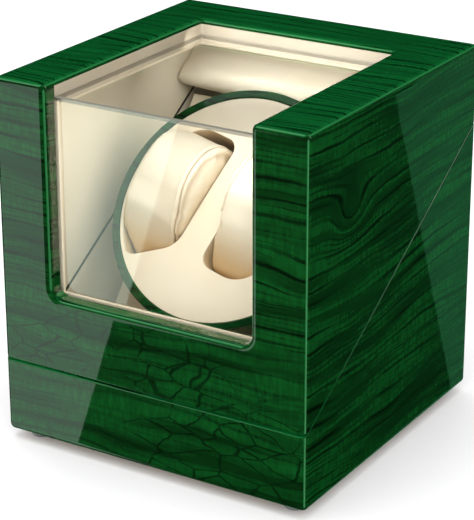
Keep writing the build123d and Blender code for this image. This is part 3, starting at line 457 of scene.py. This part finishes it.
def puff(piece, voxel, pressure, reach):
    """Even out a piece's mesh and blow it up as stuffed leather. reach gives each point's largest move."""
    even = piece.modifiers.new("even", "REMESH")
    even.mode = "VOXEL"
    even.voxel_size = voxel
    bake(piece)
    start = [vertex.co.copy() for vertex in piece.data.vertices]
    cloth = piece.modifiers.new("stuffing", "CLOTH")
    cloth.settings.use_pressure = True
    cloth.settings.uniform_pressure_force = pressure
    cloth.settings.effector_weights.gravity = 0
    scene = bpy.context.scene
    for number in range(1, CLOTH_FRAMES + 1):
        scene.frame_set(number)
    bake(piece)
    scene.frame_set(1)
    for vertex, rest in zip(piece.data.vertices, start):
        move = vertex.co - rest
        most = reach(rest)
        if move.length > most:
            vertex.co = rest + move * (most / move.length)


def subdivide(piece, levels):
    """Refine and smooth a piece's mesh."""
    smooth = piece.modifiers.new("smooth", "SUBSURF")
    smooth.levels = smooth.render_levels = levels
    bake(piece)
    for face in piece.data.polygons:
        face.use_smooth = True


def bell(value, width):
    """1 at 0, falling off smoothly over a width."""
    return exp(-(value / width) ** 2)


def drum_place(point):
    """u, v and h of a point, in millimetres."""
    offset = (point - DRUM_MID) / MM
    return offset.dot(DRUM_U), offset.dot(DRUM_V), offset.dot(DRUM_OUT)


# Pillow seams and the band between them, in millimetres
SEAM_IN = 1.1
SEAM_WIDE = 0.5
SEAM_DEEP = 1.1
BAND_LOW = 1.3
BAND_TOP = 3.6
# The outer end reaches into its slot's low corner, and leans in so that it clears the drum's rim
OUTER_STRETCH = 3.4
OUTER_ROOM = 60.5
OUTER_LEAN = 0.6
OUTER_SOFT = 3.0
# How the low end is raised, by side: where it starts and ends down the face, by how much, and how
# much more at the outer end
LOW_END = {1: (-1.0, 18.0, 5.0, 0.0), -1: (8.0, 23.0, 2.4, 5.6)}


def pillow(node, body, side):
    """Rolled watch pillow: a wrapped leather roll with a puffed end panel sewn into its inner end."""
    piece = bpy.data.objects.new(node + "_soft", NODES[node].data.copy())
    bpy.context.scene.collection.objects.link(piece)

    def reach(point):
        _, _, h = drum_place(point)
        return 0.0004 if h < 1.0 else min(0.0016, 0.0004 + 0.0001 * (h - 1.0))

    puff(piece, 0.0026, 4.0, reach)
    subdivide(piece, 2)
    low = min(drum_place(v.co)[0] for v in piece.data.vertices)
    high = max(drum_place(v.co)[0] for v in piece.data.vertices)
    inner = high if side < 0 else low
    piece.data.update()
    normals = [v.normal.copy() for v in piece.data.vertices]
    piece.data.attributes.new("seam", "FLOAT", "POINT")
    piece.data.attributes.new("slot_shade", "FLOAT", "POINT")
    seams, slot_shades = piece.data.attributes["seam"].data, piece.data.attributes["slot_shade"].data
    for vertex, normal, mark, slot_shade in zip(piece.data.vertices, normals, seams, slot_shades):
        u, v, h = drum_place(vertex.co)
        back = abs(inner - u)
        beyond = share(back, 20.0, 38.0)
        reaching = share(h, -12.0, -2.0) * share(-v, 12.0, 24.0)
        vertex.co += DRUM_U * MM * side * OUTER_STRETCH * beyond * beyond * reaching
        start, end, lift, more = LOW_END[side]
        slope = share(-v, start, end)
        raised = (lift + more * share(back, 6.0, 42.0)) * share(h, -28.0, -12.0)
        vertex.co += DRUM_OUT * MM * raised * slope * slope * (3.0 - 2.0 * slope)
        wide_u, wide_v, height = drum_place(vertex.co)
        width = hypot(wide_u, wide_v)
        room = OUTER_ROOM - OUTER_LEAN * max(0.0, height) - OUTER_SOFT
        if width > room and height > 0:
            eased = room + OUTER_SOFT * (1.0 - exp((room - width) / OUTER_SOFT))
            vertex.co += (DRUM_U * wide_u + DRUM_V * wide_v) * MM * (eased / width - 1.0)
        outer_seam = SEAM_IN + BAND_LOW + (BAND_TOP - BAND_LOW) * share(v, -12.0, 18.0)
        groove = bell(back - outer_seam, SEAM_WIDE) + 0.7 * bell(back - SEAM_IN, SEAM_WIDE)
        mark.value = min(1.0, groove * groove)
        # painted shade, growing the deeper the pillow sits in its slot
        slot_shade.value = share(-h, -10.0, 7.0) ** 1.4
        lip = bell(back - outer_seam - 1.6, 1.1) + 0.4 * bell(back - outer_seam + 0.9, 0.6)
        gather = noise.noise(Vector((v * 0.22, h * 0.22, 3.0))) * exp(-back / 7.0)
        fold = noise.noise(Vector((u * 0.035, v * 0.05, h * 0.05))) * 0.45
        vertex.co += normal * MM * (-SEAM_DEEP * groove + 0.4 * lip + 0.3 * gather + fold)
    piece.data.materials.clear()
    piece.data.materials.append(SLOT_MATERIALS["pillow_leather"])
    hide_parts(node)
    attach(piece, body)
    return piece


# The ledge's section, as (forward of its back, above its foot) in millimetres
LEDGE = [(0.0, 26.2), (1.6, 24.2), (4.4, 21.8), (8.0, 19.4), (12.0, 17.2), (15.8, 15.2), (18.9, 13.0),
         (20.4, 10.4), (20.2, 7.8), (18.2, 5.7), (14.6, 4.2), (9.6, 2.6), (4.4, 1.0), (0.0, 0.0)]
LEDGE_STEPS = 60


def bolster():
    """Padded ledge across the back of the lid: a hollow slope above a round nose."""
    node = "lid_rear_bolster"
    low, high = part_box(node)
    scale = (high.z - low.z) / (LEDGE[0][1] * MM)
    mesh = bmesh.new()
    rows = []
    for step in range(LEDGE_STEPS + 1):
        x = low.x + (high.x - low.x) * step / LEDGE_STEPS
        ends = min(x - low.x, high.x - x) / MM
        pull = 1.0 - 0.06 * exp(-ends / 5.0)
        rows.append([mesh.verts.new((x, high.y - forward * MM * pull, low.z + up * MM * scale))
                     for forward, up in LEDGE])
    for first, second in zip(rows, rows[1:]):
        for index in range(len(LEDGE)):
            after = (index + 1) % len(LEDGE)
            mesh.faces.new((first[index], first[after], second[after], second[index]))
    mesh.faces.new(rows[0][::-1])
    mesh.faces.new(rows[-1])
    bmesh.ops.recalc_face_normals(mesh, faces=mesh.faces)
    data = bpy.data.meshes.new(node + "_soft")
    mesh.to_mesh(data)
    mesh.free()
    piece = bpy.data.objects.new(node + "_soft", data)
    bpy.context.scene.collection.objects.link(piece)

    def reach(point):
        clear = min(point.x - low.x, high.x - point.x, high.y - point.y)
        return max(0.0, min(0.0012, clear * 0.2))

    puff(piece, 0.003, 4.0, reach)
    subdivide(piece, 1)
    piece.data.update()
    normals = [v.normal.copy() for v in piece.data.vertices]
    for vertex, normal in zip(piece.data.vertices, normals):
        x, y, z = vertex.co / MM
        ends = min(x - low.x / MM, high.x / MM - x)
        pull = exp(-ends / 7.0) * share(high.y / MM - y, 0.0, 6.0)
        ripple = noise.noise(Vector((x * 0.05, y * 0.08, z * 0.08)))
        vertex.co += normal * MM * (ripple * (0.3 + 0.6 * pull) - 0.6 * pull)
    piece.data.materials.clear()
    piece.data.materials.append(SLOT_MATERIALS["cream_leather"])
    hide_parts(node)
    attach(piece, "lid")
    return piece


pillow("pillow_left", "left_pillow", -1)
pillow("pillow_right", "right_pillow", 1)
bolster()


def ease_edges(node, width, segments):
    """Round a node's sharp edges."""
    bevel = NODES[node].modifiers.new("eased", "BEVEL")
    bevel.width = width
    bevel.segments = segments
    bevel.limit_method = "ANGLE"
    bevel.angle_limit = radians(50)


ease_edges("drum_face", 0.0007, 3)


# Camera: the viewing angle of a tabletop product shot, with no lens shift

CAMERA_AZIMUTH = radians(31.598)
CAMERA_ELEVATION = radians(21.746)
CAMERA_ROLL = radians(-0.104)
CAMERA_DISTANCE = 1.1120
AIM_RIGHT = -0.00265
AIM_UP = 0.0769
LENS = 144.09


def add_camera():
    """Camera aimed past the case's middle by AIM_RIGHT and AIM_UP."""
    back = Vector((sin(CAMERA_AZIMUTH) * cos(CAMERA_ELEVATION),
                   -cos(CAMERA_AZIMUTH) * cos(CAMERA_ELEVATION),
                   sin(CAMERA_ELEVATION)))
    right = Vector((cos(CAMERA_AZIMUTH), sin(CAMERA_AZIMUTH), 0))
    up = back.cross(right)
    data = bpy.data.cameras.new("camera")
    data.lens = LENS
    data.sensor_width = 36.0
    data.clip_start = 0.05
    camera = bpy.data.objects.new("camera", data)
    turn = Matrix((right, up, back)).transposed().to_4x4()
    place = CASE_MID + back * CAMERA_DISTANCE + right * AIM_RIGHT + up * AIM_UP
    roll = Matrix.Rotation(CAMERA_ROLL, 4, "Z")
    camera.matrix_world = Matrix.Translation(place) @ turn @ roll
    bpy.context.scene.collection.objects.link(camera)
    bpy.context.scene.camera = camera


add_camera()


# Studio: plain colour rendering, floor, world and lights

bpy.context.scene.view_settings.view_transform = "Standard"


def floor_material():
    graph = Graph("floor")
    tone = graph.ramp(graph.noise(metre_to_mm(graph), scale=0.01), 0.3, 0.7, 0.93, 0.95)
    shader = graph.add("ShaderNodeBsdfPrincipled", {
        "Base Color": graph.add("ShaderNodeCombineColor", {0: tone, 1: tone, 2: tone}).outputs[0],
        "Roughness": 0.9, "Specular IOR Level": 0.0})
    return graph.finish(shader.outputs[0])


FLOOR_HALF = 3.0


def add_floor():
    mesh = bpy.data.meshes.new("floor")
    half = FLOOR_HALF
    corners = [(-half, -half, 0), (half, -half, 0), (half, half, 0), (-half, half, 0)]
    mesh.from_pydata(corners, [], [(0, 1, 2, 3)])
    floor = bpy.data.objects.new("floor", mesh)
    bpy.context.scene.collection.objects.link(floor)
    mesh.materials.append(floor_material())
    floor.visible_glossy = False


def new_area(name, width, height, radiance):
    """Rectangular light of a given brightness, unseen by the camera."""
    data = bpy.data.lights.new(name, "AREA")
    data.shape = "RECTANGLE"
    data.size = width
    data.size_y = height
    data.energy = radiance * pi * width * height
    light = bpy.data.objects.new(name, data)
    bpy.context.scene.collection.objects.link(light)
    light.visible_camera = False
    return light


def add_softbox(name, place, target, width, height, radiance):
    """Light for the scene that doesn't mirror in the lacquer."""
    light = new_area(name, width, height, radiance)
    light.location = place
    light.rotation_euler = (Vector(place) - Vector(target)).to_track_quat("Z", "Y").to_euler()
    light.visible_glossy = False


def add_card(name, first, second, away, width, length, radiance, colour=(1, 1, 1)):
    """Card seen only in reflections. One long edge lies on the line through first and second."""
    first, second, away = Vector(first), Vector(second), Vector(away).normalized()
    edge = second - first
    edge = (edge - away * edge.dot(away)).normalized()
    across = away.cross(edge)
    middle = (first + second) / 2 + across * (width / 2)
    light = new_area(name, length, abs(width), radiance)
    light.data.color = colour
    turn = Matrix((edge, across, away)).transposed().to_4x4()
    light.matrix_world = Matrix.Translation(middle) @ turn
    light.visible_diffuse = False
    light.visible_transmission = False


def add_world():
    world = bpy.data.worlds.new("studio")
    bpy.context.scene.world = world
    world.use_nodes = True
    background = world.node_tree.nodes["Background"]
    background.inputs["Color"].default_value = (1, 1, 1, 1)
    background.inputs["Strength"].default_value = 1.15
    world.cycles_visibility.glossy = False


add_floor()
add_world()
add_softbox("overhead", (-0.1, -0.3, 1.25), (0, 0, 0.1), 1.0, 1.0, 1.5)
add_softbox("front", (0.75, -1.05, 0.75), (0, 0, 0.1), 0.8, 0.8, 2.0)
add_softbox("low_front", (0.1, -1.4, 0.4), (0, 0, 0.1), 0.6, 0.6, 1.5)
add_softbox("inside_back", (0, 0.03, 0.183), (0, 0.09, 0.146), 0.11, 0.02, 9.5)
add_softbox("inside_left", (0.02, -0.05, 0.165), (-0.08, -0.02, 0.14), 0.06, 0.04, 5.0)

# Two cards whose near edges mirror as slanted lines: one in the front face, one in the right side
add_card("veil_card", (-0.4873, -0.8428, -0.115), (-0.4979, -0.705, -0.3733),
         (-0.529, -0.7575, -0.3825), -0.5, 1.4, 1.6, (0.76, 1.0, 0.86))
add_card("side_card", (0.51, 0.818, -0.0949), (0.412, 0.7562, -0.349),
         (0.4116, 0.8363, -0.3622), 0.5, 1.4, 0.28, (0.2, 1.0, 0.45))

# Cards that light the rounded edges: name, direction from the case, width, length and radiance
EDGE_DISTANCE = 1.1
EDGE_CARDS = [
    ("edge_right", (0.8, -0.48, -0.36), 0.12, 1.2, 2.0),
    ("edge_left", (-0.8, 0.48, -0.36), 0.12, 1.2, 1.6),
    ("edge_top_right", (0.73, 0.15, 0.67), 0.2, 0.8, 4.0),
    ("edge_top_front", (-0.48, -0.3, 0.84), 0.16, 0.6, 2.0),
]
for name, away, width, length, radiance in EDGE_CARDS:
    middle = CASE_MID + Vector((0, 0, 0.1)) + Vector(away).normalized() * EDGE_DISTANCE
    half = Vector((0, 0, 0.3))
    add_card(name, middle + half, middle - half, away, width, length, radiance)
